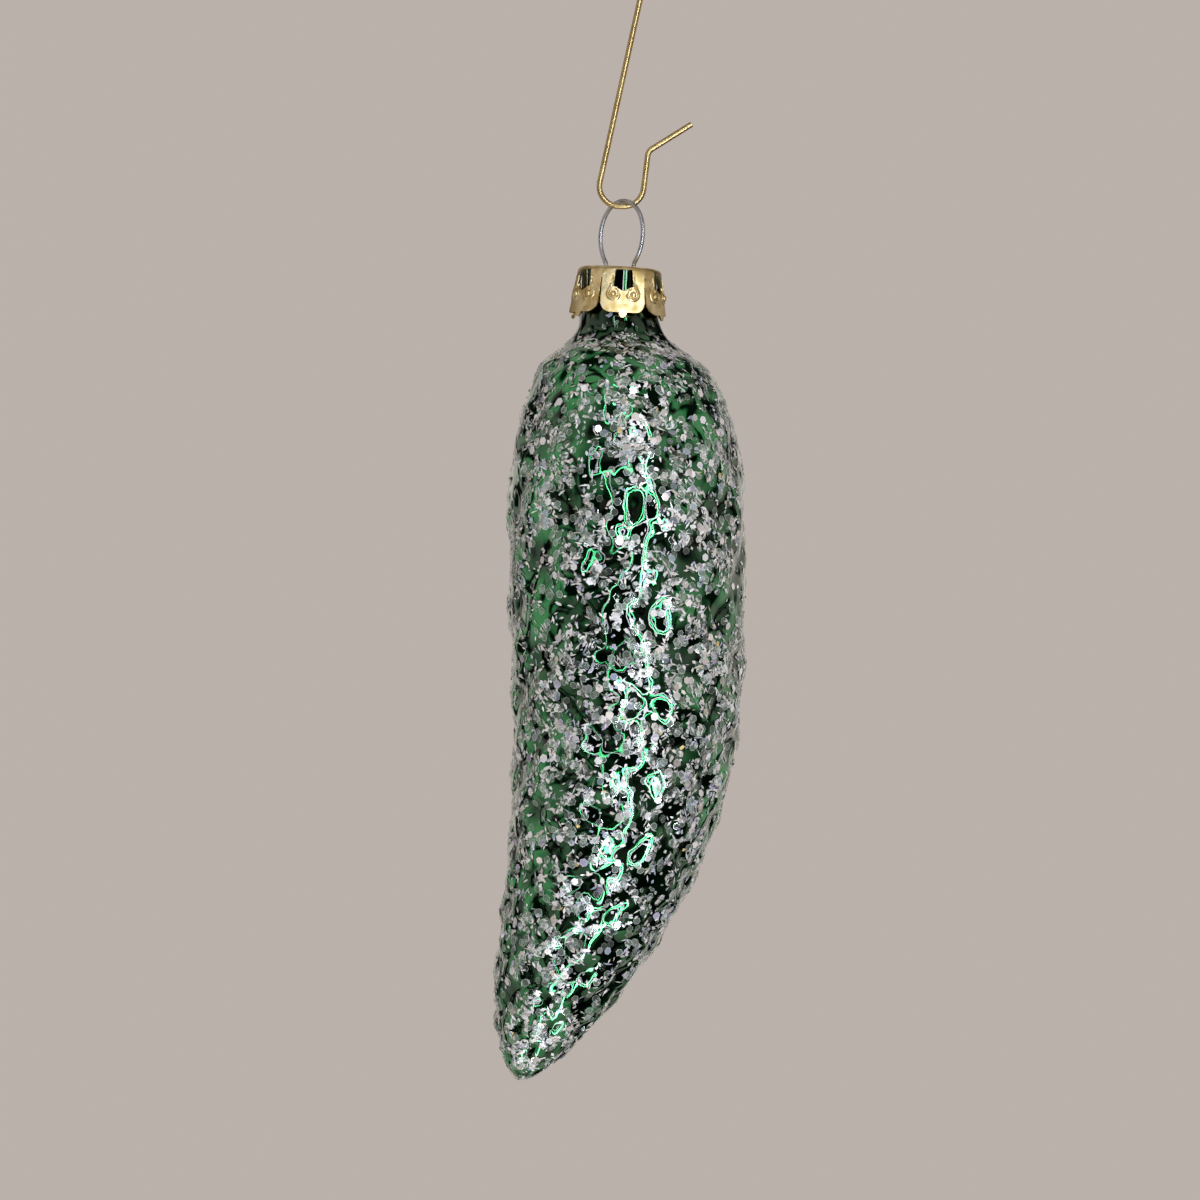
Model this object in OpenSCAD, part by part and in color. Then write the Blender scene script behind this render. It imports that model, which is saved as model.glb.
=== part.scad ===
// Glitter pine cone ornament: a curved, mould-blown glass cone with a stamped crown cap,
// a spring-wire loop and an S-shaped tree hook. Millimetres, +Z up, shown as it hangs.
// The origin is the centre of the hook's upper crook, where the branch goes.

/* [Tree hook] */
// Diameter of the hook's wire
hook_wire = 0.8; // [0.6:0.05:1.0]
// Centreline radius of the upper crook, which goes over the branch
crook_r = 8; // [6:0.5:11]
// Angle that the upper crook turns through
crook_turn = 186; // [170:2:200]
// Straight end of the upper crook
crook_tail = 4; // [2:0.5:8]
// Centreline radius of the lower eye, which carries the loop
eye_r = 2.7; // [2.4:0.1:3.6]
// Straight bearing at the bottom of the eye, where the loop swings
eye_flat = 0.7; // [0.6:0.1:1.2]
// Height from the eye's centre to the crook's centre
hook_reach = 51.3; // [40:0.1:65]
// Lean of the eye's open leg from upright
leg_lean = 7; // [2:1:15]
// Straight length of the eye's open leg
leg_len = 4.6; // [3:0.2:7]
// Angle of the guide end above level
guide_rise = 32; // [15:1:50]
// Straight length of the guide end
guide_len = 6.4; // [4:0.2:9]
// Bend radius between the open leg and the guide end
guide_bend = 1.3; // [1:0.1:2]

/* [Spring loop] */
// Diameter of the loop's wire
loop_wire = 0.6; // [0.5:0.05:0.7]
// Centreline width of the loop
loop_w = 9.4; // [8.4:0.2:11]
// Height of the loop's centreline above the cap
loop_h = 9.3; // [8:0.1:11]
// Turn of the loop's plane from the hook's plane
loop_turn = 52; // [45:1:90]
// Bend radius where the wire passes through the cap
waist_r = 1.5; // [1:0.1:1.8]
// Outward spread of the legs below the cap
leg_spread = 14; // [10:1:20]
// Length of the legs that lie along the neck's bore
leg_run = 8; // [4:0.5:10]

/* [Crown cap] */
// Thickness of the stamped sheet
cap_sheet = 0.3; // [0.2:0.05:0.4]
// Diameter of the cap at its top
cap_top_d = 11.6; // [11.4:0.1:13]
// Diameter of the cap at its rim
cap_rim_d = 13.6; // [13.2:0.1:15]
// Height of the petals
petal_h = 6.4; // [5.6:0.1:7]
// Number of petals
petals = 6; // [5:1:8]
// Height of the nib below each petal
nib_h = 0.7; // [0.4:0.1:1.2]
// Width of the nib
nib_w = 1.2; // [0.8:0.1:1.4]
// Rounding of the cap's top edge
cap_corner = 0.8; // [0.5:0.1:1.2]
// Width of the slit between two petals, at its top
slit_w = 0.2; // [0.15:0.05:0.4]
// Rounding of the petals' lower corners
petal_corner = 1.6; // [1:0.1:1.8]
// Width of the window in each petal
window_w = 2.6; // [2:0.1:2.8]
// Height of the window
window_h = 3; // [2.6:0.1:3.2]
// Diameter of the raised bead at the centre of each volute
bead_d = 0.9; // [0.7:0.1:1]
// Radius of the scroll's curl round each bead
volute_r = 0.74; // [0.7:0.01:0.8]
// Spacing of the two wire holes
hole_pitch = 6; // [5:0.1:6.4]
// Clearance around the wire in its holes, on the radius
hole_gap = 0.2; // [0.15:0.05:0.3]
// Turn of the cap about its axis
cap_turn = 6; // [0:1:30]

/* [Glass cone] */
// Length from the cap's top to the cone's tip
glass_len = 112.3; // [95:0.1:125]
// Diameter of the cone under its scales
cone_d = 31; // [26:0.1:36]
// Outside diameter of the neck
neck_d = 10.4; // [10:0.1:10.6]
// Depth at which the neck turns into the shoulder
neck_len = 4; // [3.5:0.1:5]
// Length of the shoulder
shoulder_len = 31; // [24:0.1:36]
// Wall of the glass under the scales
glass_wall = 0.6; // [0.5:0.05:0.8]
// Sideways shift of the cone from its neck
shoulder_shift = 1.2; // [0:0.1:2]
// Depth at which the cone begins to bend
bend_depth = 57; // [40:1:65]
// Length over which the cone bends
bend_run = 37; // [20:1:45]
// Lean of the tip below the bend
tip_lean = 21.6; // [0:0.1:28]
// Fullness of the cone: a higher number keeps it wide for longer
cone_fullness = 2.5; // [2:0.1:3.5]
// Sharpness of the tip: 0.5 is round
tip_point = 0.66; // [0.5:0.01:0.8]

/* [Scales] */
// Height of the moulded scales
scale_h = 1; // [0.2:0.05:1.2]
// Number of scales round the cone
scales_round = 9; // [7:1:11]
// Height of one row of scales where the cone is widest
scale_row = 7.6; // [6:0.1:9]
// Height of the last row at the tip, as a share of the widest row
row_closing = 0.47; // [0.4:0.01:1]
// Depth at which the scales begin to rise
scale_start = 16; // [10:1:18]

/* [Glitter] */
// Number of the larger loose flakes
flakes = 240; // [60:10:300]
// Width of a flake across its corners
flake_d = 1.1; // [0.8:0.1:1.3]
// Thickness of a flake
flake_t = 0.1; // [0.08:0.01:0.15]
// Glue under a flake
glue_gap = 0.25; // [0.15:0.01:0.3]

/* [Hanging] */
// Lean of the cap and loop as the cone hangs
hang_tilt = 3; // [0:0.5:5]
// Clearance between the loop and the hook's bearing
swing_gap = 0.06; // [0.03:0.01:0.1]
// Clearance between the neck's lip and the cap
seat_gap = 0.1; // [0.05:0.05:0.2]
// Clearance between the legs and the neck's bore
bore_gap = 0.14; // [0.05:0.01:0.15]

/* [Hidden] */
$fn = 48;

// Hook: the shank is the inner tangent between the eye's left arc and the crook
half_flat = eye_flat / 2;
eye_to_crook = sqrt(hook_reach * hook_reach + half_flat * half_flat);
shank_lean = atan(half_flat / hook_reach) + asin((eye_r + crook_r) / eye_to_crook);
shank_len = sqrt(eye_to_crook * eye_to_crook - (eye_r + crook_r) * (eye_r + crook_r));
bearing_z = -hook_reach - eye_r;
bend_mark = 0.02;
bend_band = 0.2;
bend_skip = bend_band / 4;

// Loop: the side arcs and the waist arcs meet on one straight inward slope
loop_inset = (loop_w - hole_pitch) / 2;
loop_drop = loop_h - loop_w / 2;
loop_slope = 2 * atan(loop_inset / loop_drop);
side_r = loop_drop / sin(loop_slope) - waist_r;
neck_bore = neck_d - 2 * glass_wall;
leg_out = neck_bore / 2 - bore_gap - loop_wire / 2 - hole_pitch / 2;
spread_len = (leg_out - 2 * waist_r * (1 - cos(leg_spread))) / sin(leg_spread);
apex_z = bearing_z + (hook_wire + loop_wire) / 2 + swing_gap;

// Cap: the volutes sit on the sloping wall at the foot of each window
window_top = cap_sheet + cap_corner / 4;
volute_x = 0.52 * window_w;
volute_z = -window_top - window_h - 0.4;
wall_lean = atan((cap_rim_d - cap_top_d) / 2 / (petal_h + nib_h - cap_corner));
wall_r = cap_top_d / 2 - (volute_z + cap_corner) * tan(wall_lean);
volute_turn = asin(volute_x / wall_r);
ridge_d = 0.26;
scroll_run = 0.9;
scroll_bend = 2.2;
scroll_swing = 35;
scroll_x = volute_r * cos(scroll_swing) - scroll_bend * (1 - cos(scroll_swing));
scroll_y = volute_r * sin(scroll_swing) + scroll_bend * sin(scroll_swing);

// Glass: stations along the shoulder's curve, then along the tapering cone
neck_r = neck_d / 2;
cone_r = cone_d / 2;
belly_depth = neck_len + shoulder_len;
cone_len = glass_len - belly_depth;
neck_ease = 0.4 * shoulder_len;
shift_run = 0.4 * shoulder_len;
lip_depth = cap_sheet + seat_gap;
joint_lap = 0.2;
joint_step = 0.05;
ring_step = 1.45;
lining_step = 6.6;
shoulder_rings = ceil(shoulder_len / ring_step);
cone_rings = ceil(cone_len / ring_step);
lining_rings = ceil(cone_len / lining_step);
scale_count = round(scales_round);
sides = 6 * scale_count;
lining_sides = 3 * scale_count;
row_growth = (1 / row_closing - 1) / cone_len;
eps = 0.01;

// Station of ring i: the rings stay close where the scales are
function station(i) =
    i < shoulder_rings
    ? 1 - pow(1 - i / shoulder_rings, 1.5)
    : let (x = (i - shoulder_rings) / cone_rings) 1 + 0.85 * asin(x) / 90 + 0.15 * x;
function ease(x) = let (t = min(1, max(0, x))) t * t * (3 - 2 * t);

// Depth and radius at station p: 0 to 1 runs down the shoulder, 1 to 2 down to the tip
function depth_at(p, shrink = 0) =
    p <= 1
    ? let (q = 1 - p)
      q * q * q * neck_len + 3 * q * q * p * (neck_len + neck_ease)
      + 3 * q * p * p * neck_len + p * p * p * belly_depth
    : belly_depth + (cone_len - 1.5 * shrink) * sin(90 * (p - 1));
function radius_at(p, shrink = 0) =
    p <= 1
    ? neck_r + (cone_r - neck_r) * ease(p) - shrink
    : (cone_r - shrink) * pow(max(0, 1 - pow(sin(90 * (p - 1)), cone_fullness)), tip_point);

// Sideways place of the middle at depth s: the bend is an even curve that runs out in a straight lean
function bend_at(q) = q < bend_run ? q * q / 2 / bend_run : q - bend_run / 2;
function sideways_at(s) =
    shoulder_shift * ease((s - neck_len) / shift_run) + tan(hang_tilt) * max(0, s - neck_len)
    - tan(tip_lean) * bend_at(max(0, s - bend_depth));

// Rows of scales above depth s: they close up evenly from the widest part to the tip
function rows_above(s) =
    let (below = s - belly_depth, lead = scale_start - belly_depth)
    (s - scale_start + row_growth * (below * below - lead * lead) / 2) / scale_row;

// One moulded scale at row j: a dome, steeper towards its rounded lower edge
function wrap(x) = x - floor(x + 0.5);
function scale_rise(row, turn, j) =
    let (
        across = 2 * wrap(scale_count * turn / 360 - 0.5 * ((j + 1) % 2)),
        along = (row - j) / (row > j ? 0.85 : 1.15)
    )
    max(0, 1 - across * across - along * along);
function relief_at(p, turn) =
    let (
        s = depth_at(p),
        row = rows_above(s),
        first = floor(row) - 1,
        swell = ease((s - scale_start) / (2 * scale_row)) * min(1, radius_at(p) / (cone_r / 2))
    )
    scale_h * swell * max([for (j = [first:first + 3]) scale_rise(row, turn, j)]);
function skin(p, turn) =
    let (s = depth_at(p), r = radius_at(p) + relief_at(p, turn))
    [sideways_at(s) + r * cos(turn), r * sin(turn), -s];
function lining(p, turn) =
    let (s = depth_at(p, glass_wall), r = radius_at(p, glass_wall))
    [sideways_at(s) + r * cos(turn), r * sin(turn), -s];

// Places a piece of the ornament, built round the cap's axis, as it hangs on the hook.
// It leans about the centre of the loop's round top, so that the loop still hangs at its apex.
module hung() {
    translate([0, 0, apex_z - loop_w / 2]) rotate([0, hang_tilt, 0]) translate([0, 0, -loop_drop]) children();
}

// A round wire that starts along +X: [0, length] runs straight, [radius, angle] bends, left if positive.
// A fine band at each bend, as the bending tool leaves, carries one stretch into the next.
module bent_wire(d, moves, joined = false, i = 0) {
    if (i < len(moves)) {
        radius = moves[i][0];
        amount = moves[i][1];
        carried = joined || i > 0;
        if (carried)
            translate([-bend_band / 2, 0, 0]) rotate([0, 90, 0]) cylinder(d = d + 2 * bend_mark, h = bend_band);
        if (radius == 0) {
            skip = carried ? bend_skip : 0;
            translate([skip, 0, 0]) rotate([0, 90, 0]) cylinder(d = d, h = amount - skip);
            translate([amount, 0, 0]) bent_wire(d, moves, joined, i + 1);
        } else {
            side = sign(amount);
            sweep = abs(amount) - (carried ? bend_skip / radius * 180 / PI : 0);
            translate([0, side * radius, 0])
                rotate([0, 0, amount > 0 ? amount - sweep - 90 : 90 + amount])
                    rotate_extrude(angle = sweep) translate([radius, 0]) circle(d = d);
            translate([radius * sin(abs(amount)), side * radius * (1 - cos(amount)), 0])
                rotate([0, 0, amount]) bent_wire(d, moves, joined, i + 1);
        }
    }
}

// S-shaped wire hook: an eye with a flared guide end below, and a crook above
module tree_hook() {
    guide = [
        [0, eye_flat],
        [eye_r, 90 - leg_lean],
        [0, leg_len],
        [guide_bend, guide_rise + leg_lean - 90],
        [0, guide_len]
    ];
    shank = [
        [eye_r, 90 + shank_lean],
        [0, shank_len],
        [crook_r, -crook_turn],
        [0, crook_tail]
    ];
    color("goldenrod") translate([0, 0, bearing_z]) rotate([90, 0, 0]) {
        translate([-half_flat, 0, 0]) bent_wire(hook_wire, guide);
        mirror([1, 0, 0]) translate([half_flat, 0, 0]) bent_wire(hook_wire, shank, true);
    }
}

// Spring-wire loop: a round top, with two legs that run through the cap and along the neck's bore
module spring_loop() {
    leg = [
        [side_r, -loop_slope],
        [waist_r, loop_slope + leg_spread],
        [0, spread_len],
        [waist_r, -leg_spread],
        [0, leg_run]
    ];
    color("lightsteelblue") hung() rotate([0, 0, -loop_turn]) translate([0, 0, loop_drop])
        rotate([90, 0, 0]) {
            rotate_extrude(angle = 180) translate([loop_w / 2, 0]) circle(d = loop_wire);
            for (side = [0, 1])
                mirror([side, 0, 0]) translate([loop_w / 2, 0, 0]) rotate([0, 0, -90])
                    bent_wire(loop_wire, leg, true);
        }
}

// Outline of the cap turned about its axis, for the outside and, taken in, for the inside
module cap_outline(top_r, rim_r, corner, top_z, foot_z) {
    translate([0, top_z - corner]) square([top_r - corner, corner]);
    intersection() {
        translate([top_r - corner, top_z - corner]) circle(r = corner);
        translate([top_r - corner, top_z - corner]) square(corner);
    }
    polygon([[0, top_z - corner], [top_r, top_z - corner], [rim_r, foot_z], [0, foot_z]]);
}

// Gap between two petals: a slit that opens into the petals' rounded lower corners and leaves the nibs
module petal_gap() {
    lean = 180 / petals;
    reach = cap_rim_d / 2 * sin(lean) - nib_w / 2 * cos(lean);
    foot = petal_h + nib_h + eps;
    polygon([
        [-slit_w / 2, -2 * cap_corner],
        [slit_w / 2, -2 * cap_corner],
        [slit_w, petal_corner - petal_h],
        [slit_w, -foot],
        [-slit_w, -foot],
        [-slit_w, petal_corner - petal_h]
    ]);
    for (side = [0, 1])
        mirror([side, 0]) {
            difference() {
                translate([0, -foot]) square([reach, foot - petal_h + petal_corner]);
                translate([slit_w + petal_corner, petal_corner - petal_h]) circle(r = petal_corner);
                translate([slit_w + petal_corner, -petal_h]) square([reach, petal_corner + eps]);
            }
            polygon([[reach - eps, -foot], [reach + 0.3 * nib_w, -foot], [reach - eps, -foot + 0.4 * nib_w]]);
        }
}

// Window of a petal: widens downwards and ends in a point between the two volutes
module petal_window() {
    difference() {
        polygon([
            [-0.44 * window_w, -window_top],
            [0.44 * window_w, -window_top],
            [0.54 * window_w, -window_top - 0.78 * window_h],
            [0, -window_top - window_h],
            [-0.54 * window_w, -window_top - 0.78 * window_h]
        ]);
        for (side = [-1, 1])
            translate([side * volute_x, volute_z]) circle(r = volute_r + 0.25);
    }
}

// Cuts a flat outline through the cap's side, square to its wall
module through_side(turn) {
    rotate([0, 0, turn]) translate([0, -cap_rim_d, 0]) rotate([90, 0, 180]) mirror([1, 0, 0])
        linear_extrude(height = cap_rim_d) children();
}

// Stamped crown cap: a thin cup with slit petals, windows, volutes and two wire holes
module crown_cap() {
    step = 360 / petals;
    foot_z = -petal_h - nib_h;
    color("gold") hung() rotate([0, 0, cap_turn]) {
        difference() {
            rotate_extrude() cap_outline(cap_top_d / 2, cap_rim_d / 2, cap_corner, 0, foot_z);
            rotate_extrude()
                cap_outline(
                    cap_top_d / 2 - cap_sheet, cap_rim_d / 2 - cap_sheet,
                    cap_corner - cap_sheet, -cap_sheet, foot_z - eps
                );
            for (i = [0:petals - 1]) {
                through_side(step * (i + 0.5)) petal_gap();
                through_side(step * i) petal_window();
            }
            rotate([0, 0, -cap_turn - loop_turn])
                for (side = [-1, 1])
                    translate([side * hole_pitch / 2, 0, -2 * cap_sheet])
                        cylinder(d = loop_wire + 2 * hole_gap, h = 3 * cap_sheet);
        }
        for (i = [0:petals - 1], side = [-1, 1])
            rotate([0, 0, step * i + side * volute_turn]) translate([0, -wall_r, volute_z])
                rotate([90 - wall_lean, 0, 0]) mirror([side < 0 ? 1 : 0, 0, 0])
                    scroll();
    }
}

// Raised scroll beside the window: it runs down, swings outwards and curls round a bead
module scroll() {
    ridge = [[0, scroll_run], [scroll_bend, scroll_swing], [volute_r, -300]];
    sphere(d = bead_d);
    translate([scroll_x, scroll_y + scroll_run, 0]) rotate([0, 0, -90]) bent_wire(ridge_d, ridge);
}

// Mould-blown glass: a plain round neck on a bent cone covered with rows of scales
module glass_cone() {
    outer = shoulder_rings + cone_rings;
    outer_points = [
        for (i = [0:outer - 1], k = [0:sides - 1])
            let (at = skin(station(i), 360 * k / sides), wide = i == 0 ? 1 + joint_step / neck_r : 1)
            [at.x * wide, at.y * wide, at.z]
    ];
    inner_points = [
        for (i = [0:2 * lining_rings - 1], k = [0:lining_sides - 1])
            let (at = lining(i / lining_rings, 360 * k / lining_sides))
            let (narrow = i == 0 ? 1 - joint_step / neck_r : 1)
            [at.x * narrow, at.y * narrow, at.z]
    ];
    tip = len(outer_points);
    inner = tip + 1;
    inner_tip = inner + len(inner_points);
    points = concat(outer_points, [skin(2, 0)], inner_points, [lining(2, 0)]);
    function on(first, around, i, k) = first + i * around + k % around;
    outer_faces = [
        for (i = [0:outer - 2], k = [0:sides - 1], half = [0, 1])
            half == 0
            ? [on(0, sides, i, k), on(0, sides, i, k + 1), on(0, sides, i + 1, k)]
            : [on(0, sides, i, k + 1), on(0, sides, i + 1, k + 1), on(0, sides, i + 1, k)]
    ];
    tip_faces = [for (k = [0:sides - 1]) [on(0, sides, outer - 1, k), on(0, sides, outer - 1, k + 1), tip]];
    inner_faces = [
        for (i = [0:2 * lining_rings - 2], k = [0:lining_sides - 1], half = [0, 1])
            let (a = on(inner, lining_sides, i, k), b = on(inner, lining_sides, i, k + 1))
            let (c = on(inner, lining_sides, i + 1, k), d = on(inner, lining_sides, i + 1, k + 1))
            half == 0 ? [b, a, c] : [d, b, c]
    ];
    inner_tip_faces = [
        for (k = [0:lining_sides - 1])
            let (i = 2 * lining_rings - 1)
            [on(inner, lining_sides, i, k + 1), on(inner, lining_sides, i, k), inner_tip]
    ];
    // The rim joins two outer edges to each inner edge
    rim_faces = [
        for (k = [0:lining_sides - 1])
            let (a = on(inner, lining_sides, 0, k), b = on(inner, lining_sides, 0, k + 1))
            let (u = on(0, sides, 0, 2 * k), v = on(0, sides, 0, 2 * k + 1), w = on(0, sides, 0, 2 * k + 2))
            each [[u, a, v], [v, a, b], [v, b, w]]
    ];
    color("darkgreen") hung() {
        polyhedron(points, concat(outer_faces, tip_faces, inner_faces, inner_tip_faces, rim_faces));
        translate([0, 0, -neck_len - joint_lap])
            difference() {
                cylinder(r = neck_r, h = neck_len + joint_lap - lip_depth);
                translate([0, 0, -eps])
                    cylinder(d = neck_bore, h = neck_len + joint_lap - lip_depth + 2 * eps);
            }
    }
}

// Larger glitter flakes, spread over the cone on a sunflower spiral
module glitter_flakes() {
    golden = 137.508;
    probe = 0.01;
    probe_turn = 0.6;
    on_shoulder = 0.23;
    color("silver") hung()
        for (i = [0:flakes - 1]) {
            share = (i + 0.5) / flakes;
            p = share < on_shoulder
                ? 0.62 + 0.38 * pow(share / on_shoulder, 0.7)
                : 2 - pow(1 - 0.99 * (share - on_shoulder) / (1 - on_shoulder), 0.41);
            turn = golden * i;
            at = skin(p, turn);
            down = (skin(p + probe, turn) - skin(p - probe, turn)) / (2 * probe);
            round = (skin(p, turn + probe_turn) - skin(p, turn - probe_turn)) / (2 * probe_turn);
            out = cross(down, round) / norm(cross(down, round));
            u = round / norm(round);
            v = cross(out, u);
            // A flake bridges the creases: it rests on the highest glass under its edge
            edge = [
                for (angle = [0:30:330])
                    let (dp = flake_d / 2 * sin(angle) / (down * v))
                    skin(p + dp, turn + (flake_d / 2 * cos(angle) - dp * (down * u)) / norm(round))
            ];
            rest = max([0, for (point = edge) (point - at) * out]);
            multmatrix([
                [u.x, v.x, out.x, at.x],
                [u.y, v.y, out.y, at.y],
                [u.z, v.z, out.z, at.z],
                [0, 0, 0, 1]
            ])
                translate([0, 0, rest + glue_gap]) cylinder(d = flake_d, h = flake_t, $fn = 6);
        }
}

tree_hook();
spring_loop();
crown_cap();
glass_cone();
glitter_flakes();
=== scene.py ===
"""Looks of the glitter pine cone ornament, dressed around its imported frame."""

import logging
import math
from collections.abc import Mapping
from dataclasses import dataclass
from enum import Enum

import bpy
import numpy as np
from mathutils import Matrix, Vector, noise

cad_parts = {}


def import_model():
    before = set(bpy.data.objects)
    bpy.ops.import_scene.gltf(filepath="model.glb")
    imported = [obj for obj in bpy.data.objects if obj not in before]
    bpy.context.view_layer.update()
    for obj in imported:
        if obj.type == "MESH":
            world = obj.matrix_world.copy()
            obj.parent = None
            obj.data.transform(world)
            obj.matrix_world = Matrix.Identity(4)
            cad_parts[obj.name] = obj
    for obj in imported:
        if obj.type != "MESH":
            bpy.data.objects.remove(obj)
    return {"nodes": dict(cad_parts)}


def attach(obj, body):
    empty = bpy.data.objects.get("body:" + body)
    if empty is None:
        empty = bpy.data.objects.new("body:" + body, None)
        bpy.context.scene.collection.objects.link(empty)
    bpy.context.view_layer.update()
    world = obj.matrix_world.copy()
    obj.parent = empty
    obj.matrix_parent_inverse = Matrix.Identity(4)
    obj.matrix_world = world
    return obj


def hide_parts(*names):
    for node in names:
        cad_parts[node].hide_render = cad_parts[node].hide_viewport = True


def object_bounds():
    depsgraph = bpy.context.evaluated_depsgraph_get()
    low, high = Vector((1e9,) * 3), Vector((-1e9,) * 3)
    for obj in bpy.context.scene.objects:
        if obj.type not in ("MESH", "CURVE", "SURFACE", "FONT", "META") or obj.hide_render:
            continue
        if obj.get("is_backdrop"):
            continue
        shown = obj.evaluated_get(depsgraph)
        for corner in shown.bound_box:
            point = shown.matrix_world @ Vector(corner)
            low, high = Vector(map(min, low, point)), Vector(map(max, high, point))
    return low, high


Span = tuple[float, float]

LOG = logging.getLogger("ornament")
MM = 0.001
HOLLOW_LAYER = "scale_hollow"
TINT_LAYER = "flake_tint"
COVER_LAYER = "flake_cover"


def ease(x: np.ndarray) -> np.ndarray:
    """Gives a smooth step from 0 to 1.

    Args:
        x: Values, of which 0 to 1 matter.

    Returns:
        The eased values.
    """
    t = np.clip(x, 0, 1)
    return t * t * (3 - 2 * t)


def soft_max(a: np.ndarray, b: np.ndarray, blend: float) -> np.ndarray:
    """Gives the greater of two values, rounded off where they are near each other.

    Args:
        a: The first values.
        b: The second values.
        blend: How far apart two values are no longer rounded off.

    Returns:
        The greater values.
    """
    return (a + b + np.sqrt((a - b) ** 2 + blend**2)) / 2


def unit(v: np.ndarray) -> np.ndarray:
    """Gives rows of length one."""
    return v / np.linalg.norm(v, axis=-1, keepdims=True)


def waves(points: np.ndarray) -> np.ndarray:
    """Gives soft random heights, about -1 to 1, at rows of points one wave apart."""
    return np.array([noise.noise(Vector(point)) for point in points])


def linear(hex_colour: str) -> tuple[float, float, float, float]:
    """Turns an sRGB hex colour to linear light.

    Args:
        hex_colour: Six hex digits after a hash.

    Returns:
        Red, green, blue and an alpha of one.
    """
    parts = [int(hex_colour[i : i + 2], 16) / 255 for i in (1, 3, 5)]
    out = [c / 12.92 if c <= 0.04045 else ((c + 0.055) / 1.055) ** 2.4 for c in parts]
    return (out[0], out[1], out[2], 1.0)


def add_node(
    tree: bpy.types.NodeTree,
    kind: str,
    inputs: Mapping[str | int, object] | None = None,
    **settings: object,
) -> bpy.types.Node:
    """Adds one node with its settings, values and links.

    Args:
        tree: The node tree that takes the node.
        kind: The node's type name.
        inputs: Socket name or number to a value, or to a socket that feeds it.
        settings: Attributes of the node itself.

    Returns:
        The new node.
    """
    node = tree.nodes.new(kind)
    for name, value in settings.items():
        setattr(node, name, value)
    for key, value in (inputs or {}).items():
        if isinstance(value, bpy.types.NodeSocket):
            tree.links.new(value, node.inputs[key])
        else:
            node.inputs[key].default_value = value
    return node


def mapped(source: Span, target: Span = (0.0, 1.0)) -> dict[str, float]:
    """Names the inputs that turn one span of values into another.

    Args:
        source: The span that comes in.
        target: The span that goes out.

    Returns:
        Values by the names of the inputs.
    """
    return {"From Min": source[0], "From Max": source[1], "To Min": target[0], "To Max": target[1]}


def empty_material(name: str) -> tuple[bpy.types.Material, bpy.types.NodeTree]:
    """Makes a material with no nodes.

    Args:
        name: The material's name.

    Returns:
        The material and its node tree.
    """
    material = bpy.data.materials.new(name)
    material.use_nodes = True
    material.node_tree.nodes.clear()
    return material, material.node_tree


def dress(obj: bpy.types.Object, material: bpy.types.Material) -> None:
    """Gives an object one material all over."""
    obj.data.materials.clear()
    obj.data.materials.append(material)


def deselect() -> None:
    """Leaves nothing selected, so an operator acts on new work alone."""
    if bpy.context.object and bpy.context.object.mode != "OBJECT":
        bpy.ops.object.mode_set(mode="OBJECT")
    bpy.ops.object.select_all(action="DESELECT")


def add_object(name: str, data: bpy.types.ID) -> bpy.types.Object:
    """Puts data into the scene as an object at the origin, selected alone.

    Args:
        name: The object's name.
        data: Its mesh, curve, light or camera.

    Returns:
        The new object.
    """
    deselect()
    obj = bpy.data.objects.new(name, data)
    bpy.context.collection.objects.link(obj)
    obj.select_set(True)
    bpy.context.view_layer.objects.active = obj
    return obj


def apply_modifier(obj: bpy.types.Object, kind: str, **settings: object) -> None:
    """Adds a modifier to the active object and applies it.

    Args:
        obj: The active object.
        kind: The modifier's type name.
        settings: Attributes of the modifier.
    """
    modifier = obj.modifiers.new(kind, kind)
    for name, value in settings.items():
        setattr(modifier, name, value)
    bpy.ops.object.modifier_apply(modifier=modifier.name)


def read(
    items: bpy.types.bpy_prop_collection, key: str, width: int = 1, kind: type = float
) -> np.ndarray:
    """Reads one property of every point, corner or face of a mesh.

    Args:
        items: The points, corners or faces.
        key: The property's name.
        width: How many numbers it has.
        kind: Their type.

    Returns:
        A flat array, or one row for each item if the width is over one.
    """
    out = np.empty(len(items) * width, dtype=kind)
    items.foreach_get(key, out)
    return out.reshape(-1, width) if width > 1 else out


@dataclass(frozen=True)
class PlatedWire:
    """Drawn steel wire with a bright plating: lamps draw a pale streak down it, and its sides stay deep."""

    name: str
    colour: str
    worn: str
    blotch_mm: float = 3.0
    blotch_span: Span = (0.3, 0.7)
    rough_range: Span = (0.24, 0.375)

    def build(self) -> bpy.types.Material:
        """Makes the material.

        Returns:
            The finished material.
        """
        material, tree = empty_material(self.name)
        place = add_node(tree, "ShaderNodeTexCoord")
        # Plating varies over about 3 mm; the drawn wire under it is smooth
        blotch = add_node(
            tree,
            "ShaderNodeTexNoise",
            {"Vector": place.outputs["Object"], "Scale": 1 / (self.blotch_mm * MM), "Detail": 1.0},
        )
        colour = add_node(
            tree,
            "ShaderNodeMix",
            {"Factor": blotch.outputs["Fac"], "A": linear(self.worn), "B": linear(self.colour)},
            data_type="RGBA",
        )
        rough = add_node(
            tree,
            "ShaderNodeMapRange",
            {"Value": blotch.outputs["Fac"], **mapped(self.blotch_span, self.rough_range)},
        )
        shader = add_node(
            tree,
            "ShaderNodeBsdfPrincipled",
            {
                "Base Color": colour.outputs["Result"],
                "Roughness": rough.outputs["Result"],
                "Metallic": 1.0,
            },
        )
        add_node(tree, "ShaderNodeOutputMaterial", {"Surface": shader.outputs["BSDF"]})
        return material


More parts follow.
